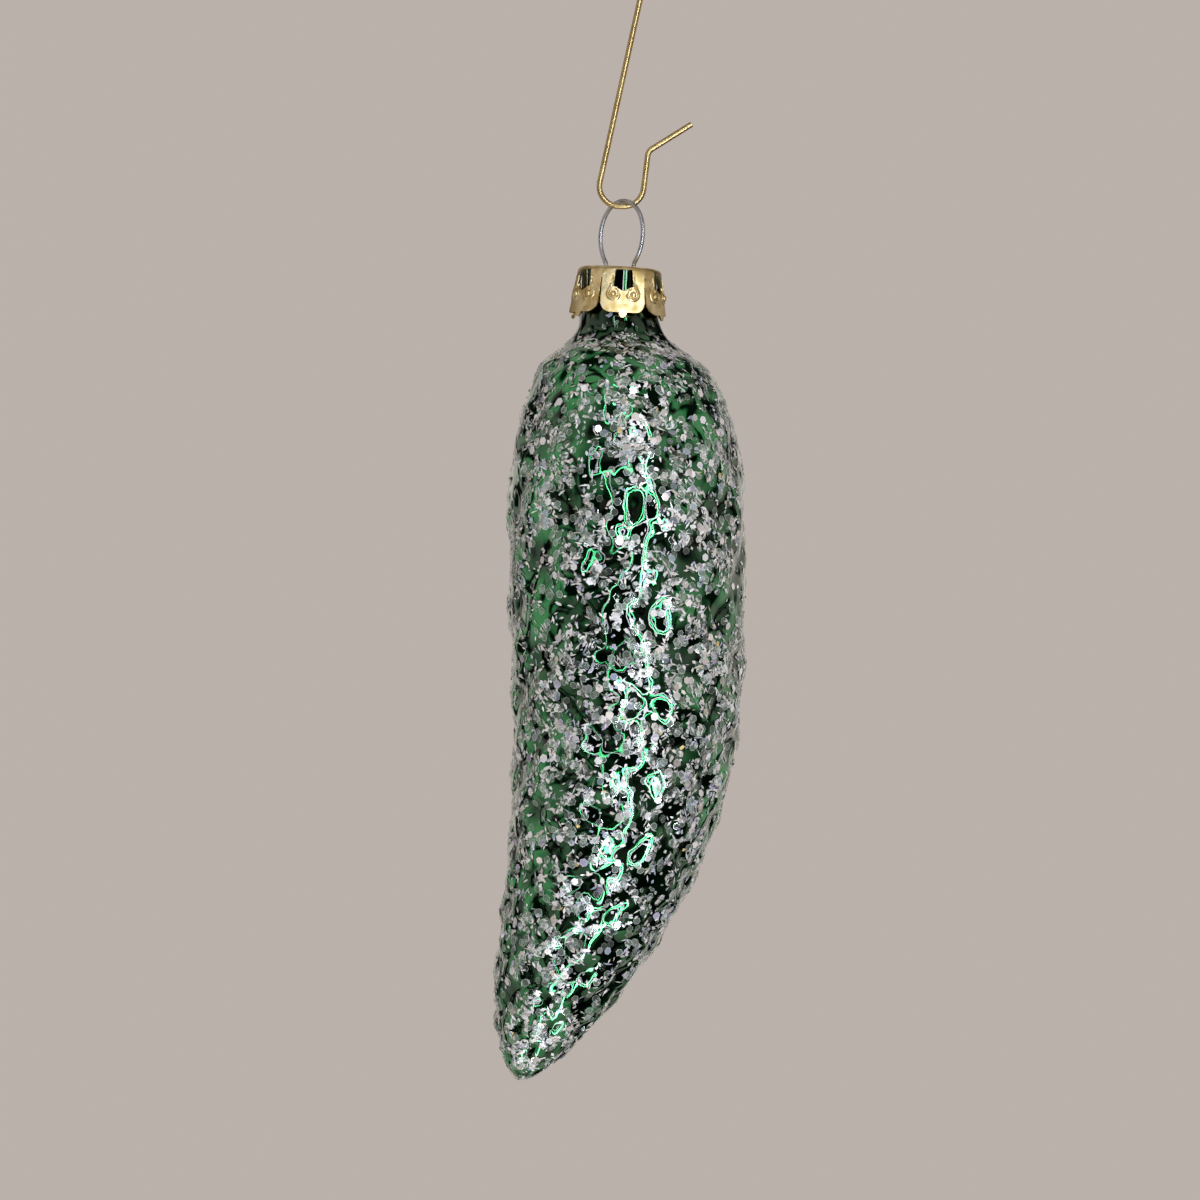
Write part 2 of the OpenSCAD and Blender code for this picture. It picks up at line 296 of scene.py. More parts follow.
@dataclass(frozen=True)
class StampedGoldSheet:
    """Gold-lacquered tinned sheet: brighter and duller in soft random stains."""

    name: str = "stamped_gold_sheet"
    colour: str = "#F2DFAE"
    hollow: str = "#D2B878"
    stain_mm: float = 1.5
    stain_span: Span = (0.35, 0.6)
    rough_span: Span = (0.3, 0.7)
    rough_range: Span = (0.476, 0.272)
    grain_mm: float = 0.6
    grain_depth_mm: float = 0.02
    grain_strength: float = 0.15

    def build(self) -> bpy.types.Material:
        """Makes the material.

        Returns:
            The finished material.
        """
        material, tree = empty_material(self.name)
        place = add_node(tree, "ShaderNodeTexCoord")
        # Rolling marks in the sheet lie about 0.6 mm apart, and stains spread over 1.5 mm
        grain = add_node(
            tree,
            "ShaderNodeTexNoise",
            {"Vector": place.outputs["Object"], "Scale": 1 / (self.grain_mm * MM), "Detail": 1.0},
        )
        stain = add_node(
            tree,
            "ShaderNodeTexNoise",
            {"Vector": place.outputs["Object"], "Scale": 1 / (self.stain_mm * MM), "Detail": 2.0},
        )
        wear = add_node(
            tree,
            "ShaderNodeMapRange",
            {"Value": stain.outputs["Fac"], **mapped(self.stain_span)},
        )
        colour = add_node(
            tree,
            "ShaderNodeMix",
            {"Factor": wear.outputs["Result"], "A": linear(self.hollow), "B": linear(self.colour)},
            data_type="RGBA",
        )
        rough = add_node(
            tree,
            "ShaderNodeMapRange",
            {"Value": stain.outputs["Fac"], **mapped(self.rough_span, self.rough_range)},
        )
        bump = add_node(
            tree,
            "ShaderNodeBump",
            {
                "Height": grain.outputs["Fac"],
                "Strength": self.grain_strength,
                "Distance": self.grain_depth_mm * MM,
            },
        )
        shader = add_node(
            tree,
            "ShaderNodeBsdfPrincipled",
            {
                "Base Color": colour.outputs["Result"],
                "Roughness": rough.outputs["Result"],
                "Normal": bump.outputs["Normal"],
                "Metallic": 1.0,
            },
        )
        add_node(tree, "ShaderNodeOutputMaterial", {"Surface": shader.outputs["BSDF"]})
        return material


@dataclass(frozen=True)
class SilveredGreenGlass:
    """Blown glass, silvered inside and lacquered green: a dark green mirror under a clear face."""

    name: str = "silvered_green_glass"
    # Colour of thick lacquer, also used as painted shade in the scales' hollows
    thick: str = "#093D20"
    thin: str = "#3A9C5C"
    # Painted shade for the neck inside the cap
    neck_shade: str = "#0B3319"
    neck_span: Span = (-0.077, -0.070)
    coat_mm: float = 9.0
    coat_span: Span = (0.3, 0.6)
    hollow_shade_and_pool: float = 0.1
    wave_mm: float = 3.0
    wave_depth_mm: float = 0.3
    haze_span: Span = (0.4, 0.65)
    haze_range: Span = (0.03, 0.08)
    face_roughness: float = 0.02
    face_ior: float = 1.5

    def build(self) -> bpy.types.Material:
        """Makes the material.

        Returns:
            The finished material.
        """
        material, tree = empty_material(self.name)
        place = add_node(tree, "ShaderNodeTexCoord")
        # Lacquer runs thicker and thinner over about 9 mm, and leaves shallow waves about 3 mm long
        coat = add_node(
            tree,
            "ShaderNodeTexNoise",
            {"Vector": place.outputs["Object"], "Scale": 1 / (self.coat_mm * MM), "Detail": 2.0},
        )
        ripple = add_node(
            tree,
            "ShaderNodeTexNoise",
            {"Vector": place.outputs["Object"], "Scale": 1 / (self.wave_mm * MM), "Detail": 0.5},
        )
        spread = add_node(
            tree,
            "ShaderNodeMapRange",
            {"Value": coat.outputs["Fac"], **mapped(self.coat_span)},
        )
        # The hollows between the scales turn darker green: partly lacquer gathered there, partly painted
        # shade
        hollow = add_node(tree, "ShaderNodeAttribute", attribute_name=HOLLOW_LAYER)
        hollow_darkening = add_node(
            tree,
            "ShaderNodeMapRange",
            {"Value": hollow.outputs["Fac"], "To Min": 1.0, "To Max": self.hollow_shade_and_pool},
        )
        thinness_and_shade = add_node(
            tree,
            "ShaderNodeMath",
            {0: spread.outputs["Result"], 1: hollow_darkening.outputs["Result"]},
            operation="MULTIPLY",
        )
        colour = add_node(
            tree,
            "ShaderNodeMix",
            {"Factor": thinness_and_shade.outputs["Value"], "A": linear(self.thick), "B": linear(self.thin)},
            data_type="RGBA",
        )
        # Painted shade: the glass is darkened round the neck, where it sits inside the cap
        spot = add_node(tree, "ShaderNodeSeparateXYZ", {"Vector": place.outputs["Object"]})
        cap_shade = add_node(
            tree,
            "ShaderNodeMapRange",
            {"Value": spot.outputs["Z"], **mapped(self.neck_span)},
            interpolation_type="SMOOTHSTEP",
        )
        shaded_colour = add_node(
            tree,
            "ShaderNodeMix",
            {"Factor": cap_shade.outputs["Result"], "A": colour.outputs["Result"], "B": linear(self.neck_shade)},
            data_type="RGBA",
        )
        # Where the lacquer is thick it is a little hazy, so a lamp's reflection glows round its edges
        haze = add_node(
            tree,
            "ShaderNodeMapRange",
            {"Value": ripple.outputs["Fac"], **mapped(self.haze_span, self.haze_range)},
        )
        bump = add_node(
            tree,
            "ShaderNodeBump",
            {"Height": ripple.outputs["Fac"], "Strength": 1.0, "Distance": self.wave_depth_mm * MM},
        )
        shader = add_node(
            tree,
            "ShaderNodeBsdfPrincipled",
            {
                "Base Color": shaded_colour.outputs["Result"],
                "Roughness": haze.outputs["Result"],
                "Normal": bump.outputs["Normal"],
                "Metallic": 1.0,
                "Coat Weight": 1.0,
                "Coat Roughness": self.face_roughness,
                "Coat IOR": self.face_ior,
            },
        )
        add_node(tree, "ShaderNodeOutputMaterial", {"Surface": shader.outputs["BSDF"]})
        return material


@dataclass(frozen=True)
class AluminisedFilm:
    """Glitter cut from polyester film: silvered flakes are tiny mirrors, and clear ones show the glass."""

    name: str = "aluminised_film"
    smooth: float = 0.08
    dull: float = 0.45
    scatter: float = 0.75
    crinkle_mm: float = 0.8
    crinkle_depth_mm: float = 0.01
    crinkle_strength: float = 0.06

    def build(self) -> bpy.types.Material:
        """Makes the material, whose colour is each flake's own.

        Returns:
            The finished material.
        """
        material, tree = empty_material(self.name)
        tint = add_node(tree, "ShaderNodeAttribute", attribute_name=TINT_LAYER)
        cover = add_node(tree, "ShaderNodeAttribute", attribute_name=COVER_LAYER)
        place = add_node(tree, "ShaderNodeTexCoord")
        # The film crinkles over about 0.8 mm when it is cut
        crinkle = add_node(
            tree,
            "ShaderNodeTexNoise",
            {"Vector": place.outputs["Object"], "Scale": 1 / (self.crinkle_mm * MM), "Detail": 1.0},
        )
        bump = add_node(
            tree,
            "ShaderNodeBump",
            {
                "Height": crinkle.outputs["Fac"],
                "Strength": self.crinkle_strength,
                "Distance": self.crinkle_depth_mm * MM,
            },
        )
        # The tint's alpha holds how dull the flake is
        rough = add_node(
            tree,
            "ShaderNodeMapRange",
            {"Value": tint.outputs["Alpha"], "To Min": self.smooth, "To Max": self.dull},
        )
        mirror = add_node(
            tree,
            "ShaderNodeMapRange",
            {"Value": tint.outputs["Alpha"], "To Min": 1.0, "To Max": 1 - self.scatter},
        )
        shader = add_node(
            tree,
            "ShaderNodeBsdfPrincipled",
            {
                "Base Color": tint.outputs["Color"],
                "Roughness": rough.outputs["Result"],
                "Normal": bump.outputs["Normal"],
                "Metallic": mirror.outputs["Result"],
                "Alpha": cover.outputs["Fac"],
            },
        )
        add_node(tree, "ShaderNodeOutputMaterial", {"Surface": shader.outputs["BSDF"]})
        return material


@dataclass
class Hanging:
    """How the ornament hangs: where the loop's round top is and how its axis leans, in millimetres."""

    bearing_depth: float = 54.0
    hook_wire: float = 0.8
    loop_wire: float = 0.6
    swing_gap: float = 0.06
    loop_w: float = 9.4
    loop_h: float = 9.3
    tilt: float = 3.0

    def matrix(self) -> Matrix:
        """Gives the way from the cap's own axis, in millimetres, to the frame, in metres.

        Returns:
            The matrix for meshes built about the cap's axis.
        """
        apex = -self.bearing_depth + (self.hook_wire + self.loop_wire) / 2 + self.swing_gap
        centre = Matrix.Translation((0, 0, apex - self.loop_w / 2))
        lean = Matrix.Rotation(math.radians(self.tilt), 4, "Y")
        drop = Matrix.Translation((0, 0, self.loop_w / 2 - self.loop_h))
        return Matrix.Scale(MM, 4) @ centre @ lean @ drop


@dataclass
class CrownCap:
    """The stamped cap: its petals are pressed nearly flat and carry raised scrolls, in millimetres."""

    hanging: Hanging
    petals: int = 6
    turn_deg: float = 6.0
    flat: float = 0.74
    top_r: float = 5.8
    corner: float = 0.8
    slope: float = 1 / 6.3
    weld: float = 0.001
    sharp_deg: float = 35.0
    skin: float = 0.03
    bead_x: float = 1.35
    bead_z: float = -3.9
    band: float = 0.72
    band_top: float = -0.9
    band_end: float = 0.35
    band_run: float = 0.15
    band_facets: int = 3
    sunk: float = 0.22
    swing_r: float = 2.2
    swing_deg: float = 35.0
    swing_points: int = 9
    curl_r: float = 0.78
    curl_deg: float = 250.0
    curl_points: int = 22

    def wall_r(self, z: np.ndarray) -> np.ndarray:
        """Gives the radius of the cap's sloping wall at heights in millimetres."""
        return self.top_r - (np.minimum(z, -self.corner) + self.corner) * self.slope

    def on_wall(self, at: np.ndarray, starts: np.ndarray) -> np.ndarray:
        """Finds the faces that lie on the outside of the sloping wall.

        Args:
            at: Places of the faces' corners, about the cap's axis.
            starts: The first corner of each face.

        Returns:
            Whether each corner's face lies there.
        """
        off = np.abs(np.hypot(at[:, 0], at[:, 1]) - self.wall_r(at[:, 2]))
        flush = np.maximum.reduceat(off, starts) < self.skin
        return np.repeat(flush, np.diff(starts, append=len(at)))

    def flattening(self, around: np.ndarray, z: np.ndarray) -> np.ndarray:
        """Gives how far shading turns about the axis, so that a round petal looks pressed flat.

        Args:
            around: Angles about the cap's axis, in radians.
            z: Heights in millimetres.

        Returns:
            Angles in radians.
        """
        step = 2 * np.pi / self.petals
        off = np.mod(around - math.radians(self.turn_deg) + step / 2, step) - step / 2
        return -self.flat * off * ease((-z - self.corner / 2) / self.corner)

    def pressed(self, cap: bpy.types.Object) -> bpy.types.Object:
        """Copies the cap and turns its shading towards the flat face of each petal.

        Args:
            cap: The cap's CAD node, which stays as it is.

        Returns:
            The copy, in place.
        """
        obj = add_object("stamped_cap", cap.data.copy())
        bpy.ops.mesh.customdata_custom_splitnormals_clear()
        bpy.ops.object.mode_set(mode="EDIT")
        bpy.ops.mesh.select_all(action="SELECT")
        bpy.ops.mesh.remove_doubles(threshold=self.weld * MM)
        bpy.ops.object.mode_set(mode="OBJECT")
        bpy.ops.object.shade_smooth_by_angle(angle=math.radians(self.sharp_deg))
        mesh = obj.data
        corners = read(mesh.loops, "vertex_index", kind=np.int32)
        starts = read(mesh.polygons, "loop_start", kind=np.int32)
        back = np.array(self.hanging.matrix().inverted())
        at = (read(mesh.vertices, "co", 3) @ back[:3, :3].T + back[:3, 3])[corners]
        around = np.arctan2(at[:, 0], -at[:, 1])
        axes = np.array(self.hanging.matrix().to_3x3().normalized())
        way = read(mesh.corner_normals, "vector", 3) @ axes
        # The wall's true normals take out the marks of its long thin triangles
        up = np.full(len(around), self.slope)
        out = unit(np.stack([np.sin(around), -np.cos(around), up], axis=-1))
        way = np.where(self.on_wall(at, starts)[:, None], out, way)
        turn = self.flattening(around, at[:, 2])
        x = way[:, 0] * np.cos(turn) - way[:, 1] * np.sin(turn)
        y = way[:, 0] * np.sin(turn) + way[:, 1] * np.cos(turn)
        mesh.normals_split_custom_set((np.stack([x, y, way[:, 2]], axis=-1) @ axes.T).tolist())
        return obj

    def scroll_path(self) -> np.ndarray:
        """Draws one scroll flat: down beside the window, outwards, then round the bead.

        Returns:
            Points across and up from the middle of the petal's top edge.
        """
        bead = np.array([self.bead_x, self.bead_z])
        swing = math.radians(self.swing_deg)
        middle = bead + (self.curl_r + self.swing_r) * np.array([math.cos(swing), math.sin(swing)])
        a = np.linspace(0, swing, self.swing_points)
        bend = middle - self.swing_r * np.stack([np.cos(a), np.sin(a)], axis=-1)
        b = swing - np.radians(np.linspace(0, self.curl_deg, self.curl_points)[1:])
        curl = bead + self.curl_r * np.stack([np.cos(b), np.sin(b)], axis=-1)
        return np.concatenate([[[bend[0, 0], self.band_top]], bend, curl])

    def scrolls(self) -> bpy.types.Object:
        """Sweeps a round band along a scroll on both sides of every petal.

        Returns:
            The scrolls as one object, in place.
        """
        path = self.scroll_path()
        share = np.linspace(0, 1, len(path))
        from_end = np.minimum(share, 1 - share)
        taper = self.band_end + (1 - self.band_end) * ease(from_end / self.band_run)
        r = self.wall_r(path[:, 1]) - self.sunk
        curve = bpy.data.curves.new("pressed_scrolls", "CURVE")
        curve.dimensions = "3D"
        curve.bevel_depth = self.band / 2
        curve.bevel_resolution = self.band_facets
        curve.use_fill_caps = True
        for petal in range(self.petals):
            for side in (-1, 1):
                a = math.radians(self.turn_deg + 360 * petal / self.petals) + side * path[:, 0] / r
                at = np.stack([r * np.sin(a), -r * np.cos(a), path[:, 1], np.ones(len(path))], axis=-1)
                line = curve.splines.new("POLY")
                line.points.add(len(path) - 1)
                line.points.foreach_set("co", at.ravel())
                line.points.foreach_set("radius", taper)
        obj = add_object("pressed_scrolls", curve)
        bpy.ops.object.convert(target="MESH")
        bpy.ops.object.shade_smooth()
        obj.data.transform(self.hanging.matrix())
        return obj


@dataclass
class GlassCone:
    """The blown cone: its profile, its bend and its rows of moulded scales, in millimetres."""

    hanging: Hanging
    glass_len: float = 112.3
    cone_r: float = 15.5
    neck_r: float = 5.2
    neck_len: float = 4.0
    lip_depth: float = 0.4
    shoulder_len: float = 31.0
    neck_ease: float = 0.4
    wall: float = 0.6
    shoulder_shift: float = 1.2
    shift_share: float = 0.4
    bend_depth: float = 57.0
    bend_run: float = 37.0
    tip_lean: float = 21.6
    fullness: float = 2.5
    tip_point: float = 0.66
    scale_h: float = 1.0
    scales_round: int = 9
    scale_row: float = 7.6
    scale_down: float = 0.85
    scale_up: float = 1.15
    row_closing: float = 0.47
    scale_start: float = 16.0
    blend: float = 0.25
    hollow_brim: float = 0.85
    hollow_run: float = 0.5
    ripple_size: float = 2.5
    ripple_h: float = 0.36
    ripple_run: float = 8.0
    sides: int = 36
    rings: int = 68
    shoulder_rings: float = 0.26
    shoulder_crowding: float = 1.5
    tip_crowding: float = 0.85
    neck_rings: int = 4
    lip_gap: float = 0.4
    foot_gap: float = 0.5
    smoothing: int = 2

    @property
    def belly_depth(self) -> float:
        """Gives the depth where the cone is widest."""
        return self.neck_len + self.shoulder_len

    def depth(self, p: np.ndarray) -> np.ndarray:
        """Gives the depth below the cap's top.

        Args:
            p: Stations, 0 to 1 down the shoulder and 1 to 2 down to the tip.

        Returns:
            Depths in millimetres.
        """
        a = np.minimum(p, 1)
        q = 1 - a
        bezier = (
            q**3 * self.neck_len
            + 3 * q * q * a * (self.neck_len + self.neck_ease * self.shoulder_len)
            + 3 * q * a * a * self.neck_len
            + a**3 * self.belly_depth
        )
        cone_len = self.glass_len - self.belly_depth
        return bezier + cone_len * np.sin(np.pi / 2 * np.maximum(p - 1, 0))

    def radius(self, p: np.ndarray) -> np.ndarray:
        """Gives the radius under the scales.

        Args:
            p: Stations, as for depth.

        Returns:
            Radii in millimetres.
        """
        shoulder = self.neck_r + (self.cone_r - self.neck_r) * ease(p)
        along = np.sin(np.pi / 2 * np.clip(p - 1, 0, 1))
        cone = self.cone_r * (1 - along**self.fullness) ** self.tip_point
        return np.where(p <= 1, shoulder, cone)

    def sideways(self, s: np.ndarray) -> np.ndarray:
        """Gives how far the middle lies from the cap's axis.

        Args:
            s: Depths in millimetres.

        Returns:
            Offsets along X in millimetres.
        """
        below = np.maximum(0, s - self.neck_len)
        past = np.maximum(0, s - self.bend_depth)
        bend = np.where(past < self.bend_run, past**2 / 2 / self.bend_run, past - self.bend_run / 2)
        return (
            self.shoulder_shift * ease((s - self.neck_len) / (self.shift_share * self.shoulder_len))
            + math.tan(math.radians(self.hanging.tilt)) * below
            - math.tan(math.radians(self.tip_lean)) * bend
        )

    def middle(self, s: float) -> Vector:
        """Gives the middle of the cone at a depth in millimetres."""
        return Vector((float(self.sideways(np.array(s))), 0, -float(s)))

    def rows_above(self, s: np.ndarray) -> np.ndarray:
        """Counts the rows of scales above a depth; the rows close up evenly towards the tip.

        Args:
            s: Depths in millimetres.

        Returns:
            Counts, with parts of a row.
        """
        growth = (1 / self.row_closing - 1) / (self.glass_len - self.belly_depth)
        below = s - self.belly_depth
        lead = self.scale_start - self.belly_depth
        return (s - self.scale_start + growth * (below**2 - lead**2) / 2) / self.scale_row

    def rise(self, s: np.ndarray) -> np.ndarray:
        """Gives how far, 0 to 1, the scales have risen out of the shoulder at depths in millimetres."""
        return ease((s - self.scale_start) / (2 * self.scale_row))

    def scales(self, s: np.ndarray, turn: np.ndarray) -> np.ndarray:
        """Gives the shape of the scales, each a low dome that runs into the next.

        Args:
            s: Depths in millimetres.
            turn: Angles about the cone's middle, in radians.

        Returns:
            Shares of a scale's height, about 1 at its crest.
        """
        row = self.rows_above(s)
        first = np.floor(row)
        best = np.zeros_like(s)
        for step in (-1, 0, 1, 2):
            j = first + step
            x = self.scales_round * turn / (2 * np.pi) - 0.5 * np.mod(j + 1, 2)
            across = 2 * (x - np.floor(x + 0.5))
            along = (row - j) / np.where(row > j, self.scale_down, self.scale_up)
            best = soft_max(best, 1 - across**2 - along**2, self.blend)
        return best

    def hollow(self, s: np.ndarray, turn: np.ndarray) -> np.ndarray:
        """Gives how deep a place lies between the scales.

        Args:
            s: Depths in millimetres.
            turn: Angles about the cone's middle, in radians.

        Returns:
            Values from 0 on a crest to 1 in a hollow.
        """
        return self.rise(s) * ease((self.hollow_brim - self.scales(s, turn)) / self.hollow_run)

    def ripple(self, s: np.ndarray, r: np.ndarray, turn: np.ndarray) -> np.ndarray:
        """Gives the height of the waves that blowing leaves in the glass.

        Args:
            s: Depths in millimetres.
            r: Radii in millimetres.
            turn: Angles about the cone's middle, in radians.

        Returns:
            Heights in millimetres.
        """
        spots = np.stack([r * np.cos(turn), r * np.sin(turn), s], axis=-1) / self.ripple_size
        fade = ease((s - self.neck_len) / self.ripple_run) * np.minimum(1, r / (self.cone_r / 2))
        return self.ripple_h * fade * waves(spots.reshape(-1, 3)).reshape(np.shape(s))

    def relief(self, s: np.ndarray, r: np.ndarray, turn: np.ndarray) -> np.ndarray:
        """Gives the height of the moulded scales and of the waves on them.

        Args:
            s: Depths in millimetres.
            r: Radii in millimetres.
            turn: Angles about the cone's middle, in radians.

        Returns:
            Heights in millimetres.
        """
        swell = self.rise(s) * np.minimum(1, r / (self.cone_r / 2))
        return self.scale_h * swell * self.scales(s, turn) + self.ripple(s, r, turn)

    def skin(self, p: np.ndarray, turn: np.ndarray) -> np.ndarray:
        """Gives points on the scaled outside.

        Args:
            p: Stations, as for depth.
            turn: Angles about the cone's middle, in radians.

        Returns:
            Points about the cap's axis, one row each, in millimetres.
        """
        s = self.depth(p)
        base = self.radius(p)
        r = base + self.relief(s, base, turn)
        return np.stack([self.sideways(s) + r * np.cos(turn), r * np.sin(turn), -s], axis=-1)

    def stations(self) -> np.ndarray:
        """Gives the stations of the rings, close where the scales are.

        Returns:
            Stations from the neck to just above the tip.
        """
        at = np.arange(self.rings) / self.rings
        shoulder = 1 - (1 - np.minimum(at / self.shoulder_rings, 1)) ** self.shoulder_crowding
        x = np.maximum(0, at - self.shoulder_rings) / (1 - self.shoulder_rings)
        return shoulder + self.tip_crowding * np.arcsin(x) / (np.pi / 2) + (1 - self.tip_crowding) * x

    def drawn(self) -> bpy.types.Object:
        """Draws the smooth cone out of its lip, ring by ring, and closes it at the tip.

        Returns:
            The open-necked shell, about the cap's axis and in millimetres.
        """
        deselect()
        centre = self.middle(self.lip_depth)
        radius = self.neck_r
        bpy.ops.mesh.primitive_circle_add(vertices=self.sides, radius=radius, location=centre)
        obj = bpy.context.object
        obj.name = "mirror_glass_cone"
        bpy.ops.object.transform_apply(location=True)
        bpy.ops.object.mode_set(mode="EDIT")
        bpy.ops.mesh.select_all(action="SELECT")
        neck = np.linspace(self.lip_depth + self.lip_gap, self.neck_len - self.foot_gap, self.neck_rings)
        rows = [(s, self.neck_r) for s in neck]
        p = self.stations()
        rows += list(zip(self.depth(p), self.radius(p), strict=True))
        for s, r in rows:
            target = self.middle(s)
            bpy.ops.mesh.extrude_region_move(TRANSFORM_OT_translate={"value": target - centre})
            grow = float(r) / radius
            bpy.ops.transform.resize(value=(grow, grow, 1), center_override=target)
            centre = target
            radius = float(r)
        tip = self.middle(self.glass_len)
        bpy.ops.mesh.extrude_region_move(TRANSFORM_OT_translate={"value": tip - centre})
        bpy.ops.mesh.merge(type="CENTER")
        bpy.ops.mesh.select_all(action="SELECT")
        bpy.ops.mesh.normals_make_consistent(inside=False)
        bpy.ops.object.mode_set(mode="OBJECT")
        return obj

    def raise_scales(self, obj: bpy.types.Object) -> None:
        """Moves each point of the smooth cone out to the scales, and marks the hollows between them.

        Args:
            obj: The cone, still about the cap's axis and in millimetres.
        """
        mesh = obj.data
        co = read(mesh.vertices, "co", 3)
        s = -co[:, 2]
        x = co[:, 0] - self.sideways(s)
        r = np.hypot(x, co[:, 1])
        turn = np.arctan2(co[:, 1], x)
        height = self.relief(s, r, turn)
        co[:, 0] += height * np.cos(turn)
        co[:, 1] += height * np.sin(turn)
        mesh.vertices.foreach_set("co", co.ravel())
        layer = mesh.attributes.new(HOLLOW_LAYER, "FLOAT", "POINT")
        layer.data.foreach_set("value", self.hollow(s, turn))
        mesh.update()

    def build(self) -> bpy.types.Object:
        """Models the cone: drawn out, smoothed, scaled and given a wall.

        Returns:
            The finished object, in place.
        """
        obj = self.drawn()
        apply_modifier(obj, "SUBSURF", levels=self.smoothing, render_levels=self.smoothing)
        self.raise_scales(obj)
        apply_modifier(obj, "SOLIDIFY", thickness=self.wall, offset=-1)
        obj.data.transform(self.hanging.matrix())
        bpy.ops.object.shade_smooth()
        return obj


class Film(Enum):
    """The glitter films: colour, share of the flakes that aren't clear, and how much each hides."""

    SILVER = ("#FAFAFA", 0.62, 1.0)
    PEARL = ("#F2EBE4", 0.2, 1.0)
    CLEAR = ("#DCEBE1", 0.0, 0.2)
    LAVENDER = ("#E0DBF4", 0.1, 0.6)
    BLUE = ("#D2E0F5", 0.074, 0.6)
    GOLD = ("#E8CE8A", 0.006, 1.0)

    @property
    def colour(self) -> tuple[float, float, float, float]:
        """Gives the film's colour in linear light."""
        return linear(self.value[0])

    @property
    def share(self) -> float:
        """Gives the film's share of the flakes that aren't clear."""
        return self.value[1]

    @property
    def cover(self) -> float:
        """Gives how much the film hides of what lies behind it."""
        return self.value[2]


class Cut(Enum):
    """The shapes that glitter is cut or broken to: corners, length over width, and raggedness."""

    HEXAGON = (6, 1.0, 0.0)
    SLIVER = (4, 3.4, 0.35)
    SHARD = (5, 1.5, 0.45)

    @property
    def corners(self) -> int:
        """Gives the number of corners."""
        return self.value[0]

    @property
    def slender(self) -> float:
        """Gives the length over the width."""
        return self.value[1]

    @property
    def ragged(self) -> float:
        """Gives how far a corner strays, as a share of its distance from the middle."""
        return self.value[2]


@dataclass(frozen=True)
class Patches:
    """How unevenly flakes stick: the patches' size in millimetres, and the share that sticks."""

    size: float
    mean: float
    swing: float
    least: float
    drift: tuple[float, float, float] = (0.0, 0.0, 0.0)

    def share(self, points: np.ndarray) -> np.ndarray:
        """Gives the share of flakes that stick at rows of points in millimetres."""
        return np.clip(self.mean + self.swing * waves(points / self.size + self.drift), self.least, 1)


